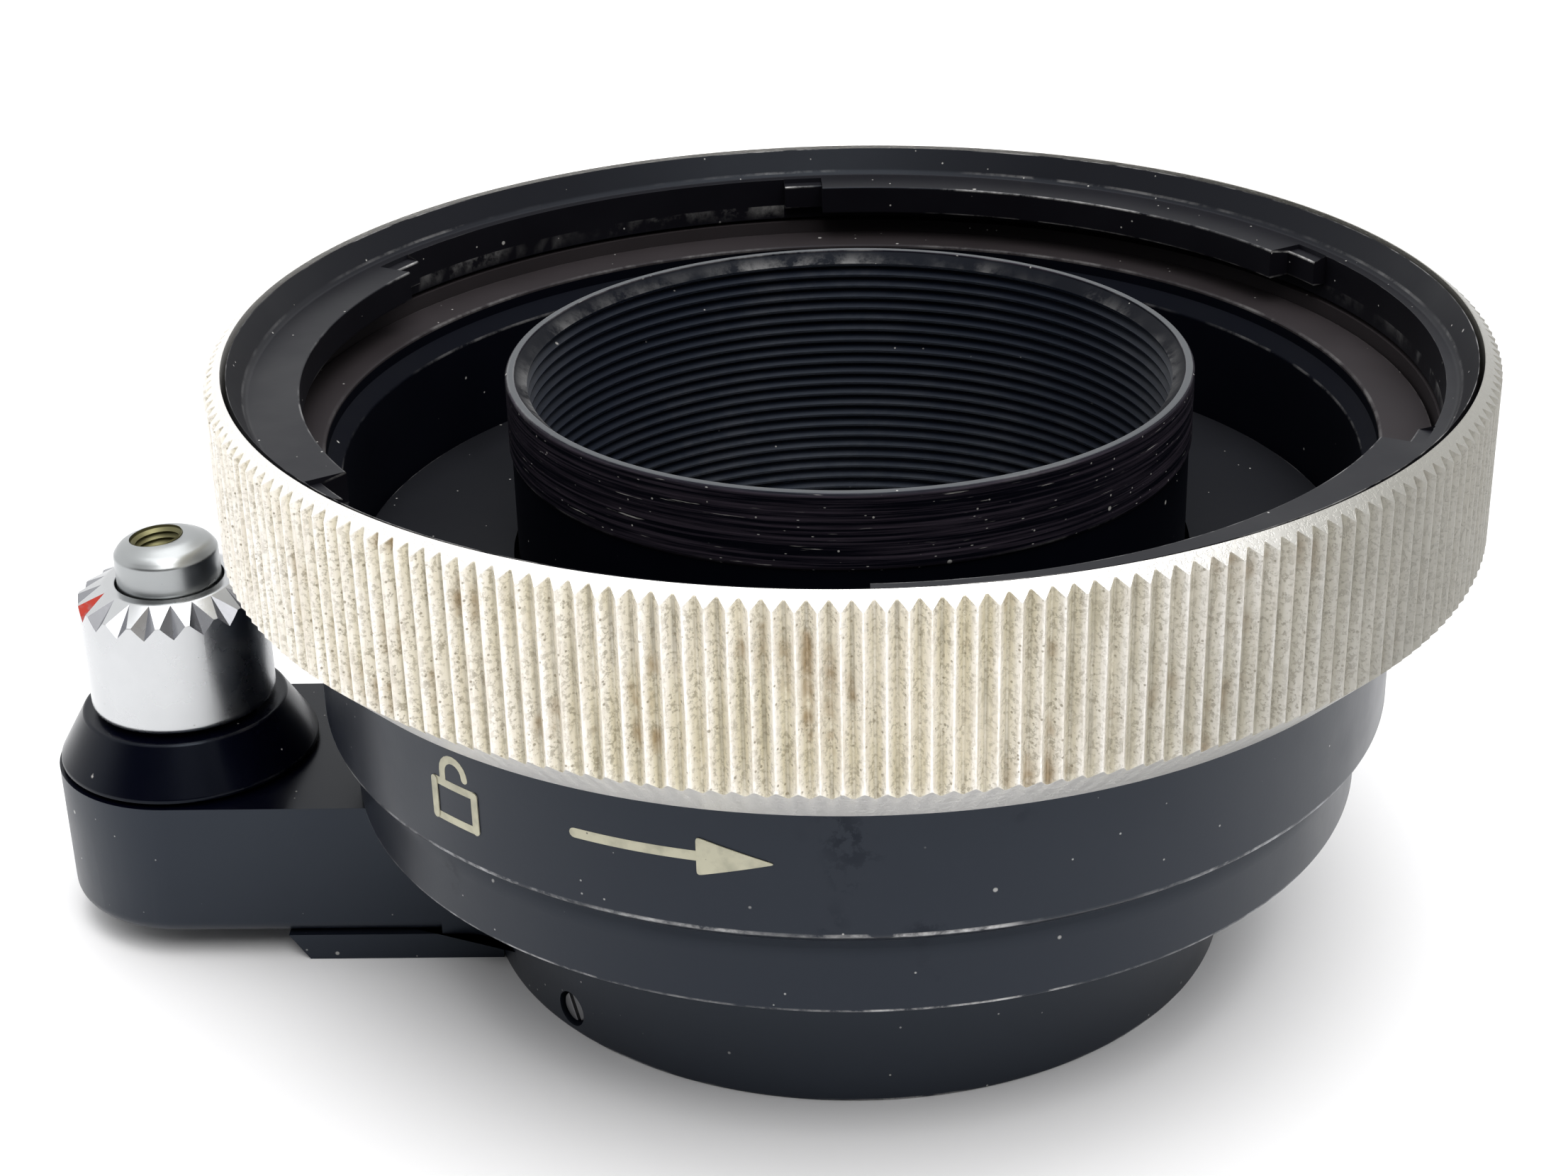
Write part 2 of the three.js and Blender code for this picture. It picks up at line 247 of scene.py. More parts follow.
# ---------------------------------------------------------------- material helpers
class Nodes:
    def __init__(self, name):
        self.material = bpy.data.materials.new(name)
        self.material.use_nodes = True
        self.tree = self.material.node_tree
        self.tree.nodes.clear()
        self.shader = self.add("ShaderNodeBsdfPrincipled")
        output = self.add("ShaderNodeOutputMaterial")
        self.link(self.shader.outputs[0], output.inputs[0])
        self.where = self.add("ShaderNodeTexCoord").outputs["Object"]

    def add(self, kind, **settings):
        node = self.tree.nodes.new(kind)
        for key, value in settings.items():
            setattr(node, key, value)
        return node

    def link(self, source, target):
        self.tree.links.new(source, target)

    def put(self, socket, value):
        if isinstance(value, bpy.types.NodeSocket):
            self.link(value, socket)
        else:
            socket.default_value = value

    def math(self, operation, a, b=0.0, clamp=False):
        node = self.add("ShaderNodeMath", operation=operation, use_clamp=clamp)
        self.put(node.inputs[0], a)
        self.put(node.inputs[1], b)
        return node.outputs[0]

    def scaled(self, vector, scale):
        node = self.add("ShaderNodeMapping")
        self.link(vector, node.inputs["Vector"])
        node.inputs["Scale"].default_value = scale
        return node.outputs[0]

    def noise(self, scale, detail=3.0, vector=None, roughness=0.55):
        node = self.add("ShaderNodeTexNoise")
        self.link(vector or self.where, node.inputs["Vector"])
        node.inputs["Scale"].default_value = scale
        node.inputs["Detail"].default_value = detail
        node.inputs["Roughness"].default_value = roughness
        return node.outputs["Fac"]

    def ramp(self, value, low, high, start=0.0, end=1.0):
        node = self.add("ShaderNodeMapRange", clamp=True)
        node.inputs["From Min"].default_value = low
        node.inputs["From Max"].default_value = high
        node.inputs["To Min"].default_value = start
        node.inputs["To Max"].default_value = end
        self.link(value, node.inputs["Value"])
        return node.outputs[0]

    def mix(self, factor, a, b):
        node = self.add("ShaderNodeMix", data_type="RGBA")
        self.put(node.inputs["Factor"], factor)
        self.put(node.inputs["A"], a)
        self.put(node.inputs["B"], b)
        return node.outputs["Result"]

    def attribute(self, name):
        return self.add("ShaderNodeAttribute", attribute_name=name).outputs["Fac"]

    def specks(self, scale, size, share, vector=None):
        """Scattered dots: a share of the Voronoi cells of one scale hold a dot of one size."""
        node = self.add("ShaderNodeTexVoronoi")
        self.link(vector or self.where, node.inputs["Vector"])
        node.inputs["Scale"].default_value = scale
        dot = self.ramp(node.outputs["Distance"], size, size * 0.6)
        split = self.add("ShaderNodeSeparateColor")
        self.link(node.outputs["Color"], split.inputs[0])
        kept = self.math("GREATER_THAN", split.outputs[0], 1 - share)
        return self.math("MULTIPLY", dot, kept)

    def cylinder_coords(self, radius):
        """Metres round the axis at one radius, and metres along it."""
        split = self.add("ShaderNodeSeparateXYZ")
        self.link(self.where, split.inputs[0])
        angle = self.math("ARCTAN2", split.outputs[1], split.outputs[0])
        join = self.add("ShaderNodeCombineXYZ")
        self.link(self.math("MULTIPLY", angle, radius * MM), join.inputs[0])
        self.link(split.outputs[2], join.inputs[1])
        return join.outputs[0]

    def bump(self, height, strength, distance):
        node = self.add("ShaderNodeBump")
        node.inputs["Strength"].default_value = strength
        node.inputs["Distance"].default_value = distance * MM
        self.link(height, node.inputs["Height"])
        self.link(node.outputs[0], self.shader.inputs["Normal"])

    def set(self, **values):
        names = {"colour": "Base Color", "metallic": "Metallic", "roughness": "Roughness",
                 "specular": "Specular IOR Level"}
        for key, value in values.items():
            self.put(self.shader.inputs[names[key]], value)


def anodised(name, base, roughness, worn=0.9, dust=0.12, turned=0.0, radius=UPPER_R, specular=0.5,
             scuffed=0.0):
    """Black anodising with dust, chips where the wear attribute says, and turning marks or scuffs."""
    n = Nodes(name)
    broad = n.noise(140, 4)
    colour = n.mix(broad, [c * 0.82 for c in base] + [1], [c * 1.25 for c in base] + [1])
    fine = n.noise(3200, 2)
    around = n.cylinder_coords(radius)
    rings = n.noise(1, 6, n.scaled(around, (60, 4200, 1)), 0.7)
    if turned:
        colour = n.mix(n.ramp(rings, 0.45, 0.75, 0, turned), colour, [0.075, 0.06, 0.08, 1])
        scratches = n.noise(1, 3, n.scaled(around, (260, 5200, 1)), 0.6)
        colour = n.mix(n.ramp(scratches, 0.67, 0.73, 0, turned), colour, [0.42, 0.41, 0.39, 1])
        dashes = n.specks(1, 0.13, 0.22, n.scaled(around, (1300, 3600, 1)))
        colour = n.mix(n.math("MULTIPLY", dashes, turned), colour, [0.5, 0.49, 0.47, 1])
    dots = n.specks(520, 0.085, dust)
    small_dots = n.specks(1500, 0.12, dust * 0.8)
    dusty = n.math("MAXIMUM", dots, small_dots)
    colour = n.mix(n.math("MULTIPLY", dusty, 0.75), colour, [0.46, 0.45, 0.43, 1])
    chips = n.math("MULTIPLY", n.ramp(n.noise(420, 5, None, 0.7), 0.42, 0.6),
                   n.ramp(n.noise(75, 3), 0.42, 0.58))
    wear = n.math("MULTIPLY", n.attribute("wear"), chips)
    wear = n.math("MULTIPLY", wear, worn, clamp=True)
    colour = n.mix(wear, colour, [0.62, 0.61, 0.6, 1])
    rough = n.ramp(broad, 0.3, 0.7, roughness - 0.05, roughness + 0.06)
    scuffs = n.math("MULTIPLY", n.ramp(n.noise(95, 3), 0.6, 0.68),
                    n.ramp(n.noise(700, 5, None, 0.7), 0.48, 0.54))
    shine = n.ramp(scuffs, 0, 1, specular, specular * (1 - scuffed))
    n.set(colour=colour, roughness=rough, metallic=n.math("MULTIPLY", wear, 0.8), specular=shine)
    n.shader.inputs["Specular Tint"].default_value = (0.74, 0.85, 1.0, 1)
    n.bump(n.math("ADD", n.math("MULTIPLY", fine, 0.6), n.math("MULTIPLY", rings, 0.8 if turned else 0.15)),
           0.35, 0.012)
    return n.material


def knurled_aluminium(name):
    """Bare metal, stained by the depth attribute in the grooves and clean by the smooth one elsewhere, with
    painted shade on its right side.
    """
    n = Nodes(name)
    around = n.cylinder_coords(RING_R)
    depth = n.attribute("depth")
    plain = n.attribute("smooth")
    streaks = n.noise(1, 4, n.scaled(around, (3200, 130, 1)), 0.65)
    patches = n.noise(110, 4)
    colour = n.mix(n.ramp(streaks, 0.35, 0.62), [0.76, 0.71, 0.62, 1], [0.98, 0.95, 0.90, 1])
    colour = n.mix(plain, colour, [0.80, 0.785, 0.755, 1])
    olive = n.math("MULTIPLY", n.ramp(depth, 0.1, 0.7), n.ramp(patches, 0.3, 0.65, 0.25, 0.75))
    colour = n.mix(olive, colour, [0.66, 0.60, 0.42, 1])
    root = n.math("MULTIPLY", n.ramp(depth, 0.78, 1.0),
                  n.ramp(n.noise(1, 3, n.scaled(around, (500, 160, 1))), 0.3, 0.7))
    colour = n.mix(n.math("MULTIPLY", root, 0.6), colour, [0.16, 0.14, 0.09, 1])
    rust = n.math("MULTIPLY", n.ramp(depth, 0.25, 0.8), n.ramp(n.noise(240, 4), 0.57, 0.68))
    colour = n.mix(n.math("MULTIPLY", rust, 0.75), colour, [0.30, 0.19, 0.07, 1])
    grain = n.ramp(n.noise(3600, 3, None, 0.7), 0.5, 0.6)
    grit = n.math("MULTIPLY", grain, n.ramp(n.noise(600, 3), 0.35, 0.6, 0.35, 1.0))
    grit = n.math("MULTIPLY", grit, n.ramp(depth, 0.0, 0.45, 0.15, 1.0))
    pits = n.math("MAXIMUM", n.specks(1500, 0.17, 0.16), n.specks(2600, 0.24, 0.2))
    grime = n.math("MAXIMUM", n.math("MULTIPLY", grit, 0.55), n.math("MULTIPLY", pits, 0.7))
    grime = n.math("MULTIPLY", grime, n.ramp(plain, 0.0, 1.0, 1.0, 0.08))
    colour = n.mix(grime, colour, [0.19, 0.155, 0.085, 1])
    # The right side of the ring is painted a darker grey: painted shade.
    side = n.add("ShaderNodeSeparateXYZ")
    n.link(n.where, side.inputs[0])
    painted_right_shade = n.ramp(n.math("ADD", side.outputs[0], n.math("MULTIPLY", patches, 0.008)), 0.010, 0.034, 0, 0.9)
    colour = n.mix(painted_right_shade, colour, [0.24, 0.235, 0.21, 1])
    n.set(
        colour=colour,
        metallic=n.ramp(n.math("ADD", depth, grime), 0, 1, 0.6, 0.2),
        roughness=n.ramp(n.math("ADD", depth, grime), 0, 1, 0.3, 0.6),
        specular=0.5,
    )
    n.bump(n.math("ADD", n.noise(2400, 4), n.math("MULTIPLY", grain, -0.8)), 0.6, 0.03)
    return n.material


def plated(name, colour, roughness, mottling=0.08):
    n = Nodes(name)
    cloud = n.noise(260, 4)
    fine = n.noise(4200, 2)
    dark = [c * (1 - mottling * 2.2) for c in colour] + [1]
    mixed = n.mix(cloud, dark, list(colour) + [1])
    marks = n.specks(1300, 0.11, 0.07)
    mixed = n.mix(n.math("MULTIPLY", marks, 0.55), mixed, [0.2, 0.19, 0.17, 1])
    n.set(colour=mixed, metallic=1.0, roughness=n.ramp(cloud, 0.3, 0.7, roughness - 0.04, roughness + 0.07))
    n.bump(fine, 0.3, 0.006)
    return n.material


def paint(name, base, roughness=0.55):
    n = Nodes(name)
    blotches = n.noise(900, 4)
    colour = n.mix(n.ramp(blotches, 0.42, 0.7), list(base) + [1], [c * 0.72 for c in base] + [1])
    colour = n.mix(n.specks(2100, 0.16, 0.1), colour, [0.1, 0.095, 0.08, 1])
    n.set(colour=colour, roughness=roughness)
    n.bump(blotches, 0.4, 0.01)
    return n.material


def notched_chrome(name):
    """Satin chrome with painted shade on the notch flanks and the one red-painted notch."""
    n = Nodes(name)
    cloud = n.noise(260, 4)
    colour = n.mix(cloud, [0.47, 0.48, 0.49, 1], [0.62, 0.63, 0.64, 1])
    colour = n.mix(n.math("MULTIPLY", n.specks(1300, 0.1, 0.06), 0.5), colour, [0.2, 0.19, 0.17, 1])
    # The notch flanks are painted darker: painted shade.
    colour = n.mix(n.attribute("cut"), colour, [0.33, 0.335, 0.355, 1])
    red = n.attribute("red")
    red = n.math("MULTIPLY", red, n.ramp(n.noise(1500, 3), 0.3, 0.5, 0.55, 1.0))
    colour = n.mix(red, colour, [0.42, 0.035, 0.02, 1])
    n.set(colour=colour, metallic=n.ramp(red, 0, 1, 1.0, 0.0),
          roughness=n.ramp(cloud, 0.3, 0.7, 0.22, 0.32))
    n.bump(n.noise(4200, 2), 0.3, 0.006)
    return n.material


BLACK = anodised("black_anodised", (0.0055, 0.007, 0.012), 0.36, specular=0.44)
BAND_BLACK = anodised("black_anodised_band", (0.0038, 0.0049, 0.0095), 0.33, worn=1.0, dust=0.05,
                      specular=0.36, scuffed=0.5)
INNER_BLACK = anodised("matt_black", (0.0012, 0.0014, 0.0035), 0.6, worn=0.4, dust=0.05, specular=0.06)
FLOOR_BLACK = anodised("well_floor_black", (0.006, 0.006, 0.0075), 0.6, worn=0.4, dust=0.12, specular=0.12)
TURNED_BLACK = anodised("turned_black", (0.0012, 0.0013, 0.0035), 0.5, worn=0.5, dust=0.3, turned=0.72,
                        radius=TUBE_R, specular=0.1)
TUBE_BLACK = anodised("tube_black", (0.0009, 0.0011, 0.003), 0.5, worn=0.3, dust=0.1, specular=0.08)
SEAT_BLACK = anodised("seat_black", (0.021, 0.0175, 0.0185), 0.55, worn=0.5, dust=0.15, specular=0.12)
RIDGE_BLACK = anodised("ridged_black", (0.003, 0.0045, 0.010), 0.42, worn=0.04, dust=0.03, specular=0.2)
# Grey black for the tube's upward rim face: painted reflection.
RIM_PAINTED_REFLECTION = anodised("rim_painted_reflection", (0.045, 0.048, 0.052), 0.4, worn=0.3, dust=0.1, specular=0.3)
BOSS_BLACK = anodised("boss_black", (0.0005, 0.0007, 0.0035), 0.24, worn=0.2, specular=0.18)
LUG_BLACK = anodised("lug_black", (0.0035, 0.003, 0.0045), 0.45, worn=0.8, dust=0.12, specular=0.18)
ALUMINIUM = knurled_aluminium("bare_aluminium")
CHROME = plated("satin_chrome", (0.74, 0.745, 0.75), 0.26)
STEEL = plated("steel", (0.30, 0.30, 0.31), 0.4, 0.12)
BRASS = plated("brass", (0.20, 0.19, 0.10), 0.45, 0.2)
# The button cap is a darker copy of the satin chrome: painted shade.
CAP_CHROME_PAINTED_SHADE = plated("cap_chrome_painted_shade", (0.40, 0.415, 0.42), 0.3)
CREAM = paint("engraving_fill", (0.53, 0.51, 0.38))


def finish_piece(obj, material, body, slot, *nodes):
    obj.data.materials.clear()
    obj.data.materials.append(material)
    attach(obj, body)
    if nodes:
        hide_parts(*nodes)


# ---------------------------------------------------------------- lock ring
KNURLS = 220
KNURL_DEPTH = 0.55
RING_TOP = GRIP_HI[2]
RING_BOTTOM = GRIP_LO[2]


def grip_ring():
    """Straight-knurled ring: five columns a groove, with the flanks cut through both end cones."""
    across = [(-0.05, 1.0), (0.05, 1.0), (0.455, 0.04), (0.5, 0.0), (0.545, 0.04)]
    columns = []
    for i in range(KNURLS):
        for offset, share in across:
            columns.append((TAU * (i + offset) / KNURLS, share))
    bm = bmesh.new()
    depth = bm.verts.layers.float.new("depth")
    smooth = bm.verts.layers.float.new("smooth")
    built = []
    for angle, share in columns:
        r = RING_R - KNURL_DEPTH * share
        low_edge = RING_BOTTOM + (r - 36.7) * 0.97
        high_edge = RING_TOP - (r - 38.98) * 0.784
        profile = [
            (35.05, RING_BOTTOM, 0, 1), (36.62, RING_BOTTOM, 0, 1), (36.72, RING_BOTTOM + 0.03, 0, 1),
            (r - 0.05, low_edge - 0.05, share * 0.2, 1), (r, low_edge, share, 0.2),
            (r, low_edge + 0.1, share, 0), (r, high_edge - 0.1, share, 0),
            (r, high_edge, share * 0.4, 0.5), (r - 0.04, high_edge + 0.03, 0, 1),
            (39.02, RING_TOP - 0.03, 0, 1), (38.97, RING_TOP, 0, 1), (38.92, RING_TOP - 0.03, 0, 1),
            (38.9, 36.3, 0, 1), (36.7, 36.3, 0, 1), (36.7, 30.6, 0, 1), (35.05, 30.6, 0, 1),
        ]
        column = []
        for radius, z, deep, plain in profile:
            vert = bm.verts.new((radius * math.cos(angle) * MM, radius * math.sin(angle) * MM, z * MM))
            vert[depth] = deep
            vert[smooth] = plain
            column.append(vert)
        built.append(column)
    close_round(bm, built)
    obj = new_object("grip_ring_knurled", bm, 20)
    finish_piece(obj, ALUMINIUM, "lock_ring", "bare_aluminium", "knurled_grip_ring")
    obj.data.materials.append(SEAT_BLACK)
    for polygon in obj.data.polygons:
        x, y, z = polygon.center / MM
        if math.hypot(x, y) < 38.93 and 30.65 < z < 36.4:
            polygon.material_index = 1


LUG_TOP = 39.6
LUG_THICK = 2.0
LUG_R = 34.3
GAP_R = 36.8
LUG_CENTRES = (60, 180, 300)
LUG_HALF = 33


def lug_ring():
    """Inner ring: an entry cone, a ledge and three lugs with small steps at their ends."""
    def profile(kind):
        if kind == "lug":
            inner, low, high = LUG_R, LUG_TOP - LUG_THICK, LUG_TOP
        elif kind == "step":
            inner, low, high = GAP_R - 0.95, LUG_TOP - LUG_THICK, LUG_TOP - 0.3
        else:
            inner, low, high = GAP_R, LUG_TOP - LUG_THICK, LUG_TOP
        worn = {"lug": 0.55, "step": 1.0, "gap": 0.2}[kind]
        return rounded([
            (GAP_R, 36.6, 0, 0), (38.6, 36.6, 0.1, 0), (38.6, LUG_HI[2], 0.1, 0.8),
            (37.75, 39.85, 0.1, 0.2), (37.5, LUG_TOP, 0.1, 0), (GAP_R + 0.05, LUG_TOP, 0, 0),
            (GAP_R, high, 0, 0), (inner, high, 0.12, worn), (inner, low, 0.12, 0.4),
            (GAP_R, low, 0, 0),
        ], 3)

    shapes = {kind: profile(kind) for kind in ("lug", "step", "gap")}
    stops = []
    for centre in LUG_CENTRES:
        stops += [(centre - LUG_HALF, "step"), (centre - LUG_HALF + 4.6, "lug"),
                  (centre + LUG_HALF, "step"), (centre + LUG_HALF + 4.4, "gap")]
    stops.sort()
    columns = []
    for i, (start, kind) in enumerate(stops):
        end = stops[(i + 1) % len(stops)][0]
        end += 360 if end <= start else 0
        steps = max(3, round((end - start) / 1.2))
        for k in range(steps + 1):
            degrees = start + (end - start) * k / steps
            degrees += 0.02 if k == 0 else (-0.02 if k == steps else 0)
            columns.append((math.radians(degrees), kind))
    columns.sort()
    kinds = dict(columns)
    obj = revolve("lug_ring", [c[0] for c in columns], lambda angle: shapes[kinds[angle]])
    finish_piece(obj, LUG_BLACK, "lock_ring", "black_anodised", "bayonet_lug_ring")


# ---------------------------------------------------------------- body shells
SEAT_Z = UPPER_HI[2]
SHOULDER_Z = 18.2


def upper_shell():
    notch_half = math.radians(2.4)
    plain = rounded([
        (30.5, UPPER_LO[2], 0, 0), (33.35, UPPER_LO[2], 0.08, 0.6), (UPPER_R, SHOULDER_Z, 0.22, 1.0),
        (UPPER_R, 30.9, 0, 0), (36.4, 30.9, 0.1, 0), (36.4, SEAT_Z, 0.1, 0.2), (33.1, SEAT_Z, 0.2, 0.25),
        (33.1, 34.6, 0, 0), (32.2, 33.7, 0.1, 0.3), (32.2, 25, 0, 0), (30.5, 25, 0, 0),
    ])
    lowered = [(r, min(z, SEAT_Z - 1.3), w) for r, z, w in plain]
    angles = [-math.pi / 2 + s * notch_half + o for s in (-1, 1) for o in (-0.0006, 0.0006)]
    angles += [a for a in [TAU * i / 288 - math.pi for i in range(288)]
               if abs(a + math.pi / 2) > notch_half * 1.1]
    angles.sort()
    obj = revolve(
        "upper_shell_turned", angles,
        lambda a: lowered if abs(a + math.pi / 2) < notch_half else plain,
    )
    finish_piece(obj, BAND_BLACK, "adapter_body", "black_anodised", "upper_shell")
    obj.data.materials.append(INNER_BLACK)
    obj.data.materials.append(SEAT_BLACK)
    for polygon in obj.data.polygons:
        centre = polygon.center
        if centre.z / MM > SEAT_Z - 0.3:
            polygon.material_index = 2
        elif math.hypot(centre.x, centre.y) / MM < 33.25 and centre.z / MM > UPPER_LO[2] + 0.5:
            polygon.material_index = 1


def rear_shell():
    obj = revolve_plain("rear_shell_turned", [
        (21.9, REAR_LO[2], 0.1, 0), (REAR_R, REAR_LO[2], 0.22, 1.0), (REAR_R, REAR_HI[2] - 0.8, 0.4, 0),
        (REAR_R - 0.25, UPPER_LO[2] - 0.02, 0, 0), (30.2, UPPER_LO[2] - 0.02, 0, 0),
        (30.2, 13.9, 0, 0), (21.9, 13.9, 0, 0),
    ], 288)
    cut(obj, *[cylinder_bm(1.2, 11, 13.4, x, y, 32) for x, y in SHELL_SCREWS])
    finish_piece(obj, BAND_BLACK, "adapter_body", "black_anodised", "rear_shell")


def well_floor():
    obj = revolve_plain("well_floor", [
        (FLOOR_HI[0] - 10, FLOOR_LO[2], 0, 0), (FLOOR_HI[0], FLOOR_LO[2], 0, 0),
        (FLOOR_HI[0], FLOOR_HI[2], 0.1, 0.5), (FLOOR_HI[0] - 10, FLOOR_HI[2], 0, 0),
    ], 192)
    finish_piece(obj, FLOOR_BLACK, "adapter_body", "matt_black", "well_floor_plate")


# ---------------------------------------------------------------- baffle tube
TUBE_BORE = 20.35
TUBE_TOP = TUBE_HI[2]
RIDGE_PITCH = 0.81


def baffle_tube():
    """Outer sleeve with a turned band; the bore is one run of fine saw-tooth ridges."""
    outer = rounded([
        (20.4, TUBE_LO[2], 0, 0), (22.3, TUBE_LO[2], 0.1, 0), (22.3, 11.8, 0.1, 0), (21.55, 11.8, 0, 0),
        (21.55, 34.25, 0, 0), (TUBE_R, 34.45, 0.1, 0.3), (TUBE_R, TUBE_TOP - 0.15, 0.1, 0.1),
        (21.55, TUBE_TOP, 0.08, 0.3), (21.1, TUBE_TOP, 0.1, 0.3),
    ])
    ridges = []
    z = TUBE_TOP - 0.75
    while z > TUBE_LO[2] + 1.2:
        ridges += [(TUBE_BORE, z, 0.6), (TUBE_BORE + 0.05, z - 0.16, 0.2), (TUBE_BORE + 0.42, z - 0.42, 0),
                   (TUBE_BORE + 0.42, z - 0.5, 0)]
        z -= RIDGE_PITCH
    profile = outer + ridges
    obj = revolve("baffle_tube_turned", even_angles(224), lambda angle: profile, sharp_angle=24)
    finish_piece(obj, TURNED_BLACK, "adapter_body", "matt_black", "baffle_tube")
    obj.data.materials.append(RIDGE_BLACK)
    obj.data.materials.append(RIM_PAINTED_REFLECTION)
    obj.data.materials.append(TUBE_BLACK)
    for polygon in obj.data.polygons:
        centre = polygon.center
        radius = math.hypot(centre.x, centre.y) / MM
        # The upward top face of the rim takes the grey of painted reflection.
        if polygon.normal.z > 0.9 and centre.z / MM > TUBE_TOP - 0.2:
            polygon.material_index = 2
        elif radius < 20.9:
            polygon.material_index = 3 if centre.z / MM > TUBE_TOP - 0.72 else 1
        elif centre.z / MM < 34.3:
            polygon.material_index = 3


# ---------------------------------------------------------------- foot and arm
def arc(cx, cy, radius, start, end, count):
    return [(cx + radius * math.cos(math.radians(start + (end - start) * i / count)),
             cy + radius * math.sin(math.radians(start + (end - start) * i / count)))
            for i in range(count + 1)]


def foot_and_arm():
    foot = revolve_plain("foot_and_arm_cast", [
        (22.6, 0, 0.12, 0.4), (FOOT_R, 0, 0.2, 1.0), (FOOT_R, FOOT_TOP, 0.1, 0), (22.6, FOOT_TOP, 0, 0),
        (22.6, 8, 0, 0), (19.8, 8, 0, 0), (19.8, 6.1, 0.1, 0.4), (22.6, 6.1, 0, 0),
    ], 256)
    arm_top = 11.6
    arm_low = 1.9
    fillet = 4.2
    reach = math.sqrt((FOOT_R + fillet) ** 2 - (ARM_HALF + fillet) ** 2)
    touch = math.degrees(math.atan2(ARM_HALF + fillet, reach))
    outline = arc(ARM_X, 0, ARM_HALF, 90, 270, 48)
    outline += arc(-reach, -(ARM_HALF + fillet), fillet, 90, touch, 10)
    outline += [(-21.2, -12.6), (-21.2, 12.6)]
    outline += arc(-reach, ARM_HALF + fillet, fillet, -touch, -90, 10)
    arm = new_object("tool", prism_bm(outline, arm_low, arm_top))
    cut(arm, end_cutter_bm(arm_low))
    cut(arm, cylinder_bm(22.6, -1, 13, 0, 0, 256))
    combine(foot, [arm], "UNION")
    cut(foot, cylinder_bm(5, 3.4, 12, ARM_X, 0), cylinder_bm(1.8, 1, 4, ARM_X, 0, 32),
        box_bm(-36, -26.2, -5.4, 5.4, 1, 9))
    holes = []
    for angle in GRUB_ANGLES:
        tool = new_object("tool", cylinder_bm(1.2, 22, 26, 0, 0, 40))
        turn = Matrix.Rotation(math.radians(angle), 4, "Z") @ Matrix.Rotation(math.pi / 2, 4, "Y")
        tool.data.transform(Matrix.Translation((0, 0, GRUB_HEIGHT * MM)) @ turn)
        holes.append(tool)
    combine(foot, holes, "DIFFERENCE")
    edge = 0.19
    rewear(foot, lambda co: float(co.z < edge * MM and math.hypot(co.x, co.y) > (FOOT_R - edge) * MM))
    shade(foot.data)
    soften(foot, 0.14, 2)
    finish_piece(foot, BLACK, "adapter_body", "black_anodised", "foot_and_arm")
    # The arm's upward faces take the darker boss black: painted shade from the ring above them.
    foot.data.materials.append(BOSS_BLACK)
    for polygon in foot.data.polygons:
        if polygon.normal.z > 0.9 and polygon.center.z / MM > 10:
            polygon.material_index = 1


def end_cutter_bm(arm_low):
    """What is cut away to round the lower edge of the arm, along both sides and round its free end."""
    bm = bmesh.new()
    steps = 10
    radius = 1.1
    rings = [(ARM_HALF + 2, arm_low - 1)]
    for k in range(steps + 1):
        t = math.pi / 2 * k / steps
        rings.append((ARM_HALF - radius * (1 - math.sin(t)) + (0.001 if k == steps else 0),
                      arm_low + radius * (1 - math.cos(t)) - (0.001 if k == 0 else 0)))
    rings.append((ARM_HALF + 2, arm_low + radius + 0.3))
    path = [(-27.5, 0, 1)] + [(ARM_X, math.cos(a), math.sin(a)) for a in
                              [math.radians(90 + 180 * i / 48) for i in range(49)]] + [(-27.5, 0, -1)]
    columns = []
    for x, out_x, out_y in path:
        columns.append([bm.verts.new(((x + r * out_x) * MM, r * out_y * MM, z * MM)) for r, z in rings])
    count = len(rings)
    for i in range(len(path) - 1):
        for j in range(count):
            k = (j + 1) % count
            bm.faces.new((columns[i][j], columns[i][k], columns[i + 1][k], columns[i + 1][j]))
    bm.faces.new(columns[0])
    bm.faces.new(list(reversed(columns[-1])))
    return bm


def slotted_screw(node, radius, shank_radius, low, high, shank_end, x, y):
    """Cheese-head screw driven from below: rounded head with a slot, plain shank."""
    obj = revolve_plain(f"{node}_slotted", [
        (0.1, low, 0, 0), (radius, low, 0.1, 0), (radius, high, 0.05, 0), (shank_radius, high, 0, 0),
        (shank_radius, shank_end - 0.2, 0, 0), (shank_radius - 0.2, shank_end, 0, 0), (0.1, shank_end, 0, 0),
    ], 40, (x, y))
    cut(obj, box_bm(x - radius - 1, x + radius + 1, y - 0.2, y + 0.2, low - 0.3, low + 0.35))
    finish_piece(obj, STEEL, "adapter_body", "steel", node)


# ---------------------------------------------------------------- arm pieces
def guide_boss():
    obj = revolve_plain("guide_boss_turned", [
        (1.9, BOSS_LO[2], 0, 0), (4.7, BOSS_LO[2], 0, 0), (4.7, 11.9, 0, 0), (8.6, 11.9, 0.08, 0.1),
        (8.6, 12.15, 0.08, 0.2), (6.75, 15.3, 0.15, 0.3), (4.6, 15.3, 0, 0), (4.6, BOSS_HI[2], 0, 0),
        (3.75, BOSS_HI[2], 0, 0), (3.75, 14, 0, 0), (1.9, 14, 0, 0),
    ], 128, (ARM_X, 0))
    finish_piece(obj, BOSS_BLACK, "adapter_body", "black_anodised", "button_guide_boss")


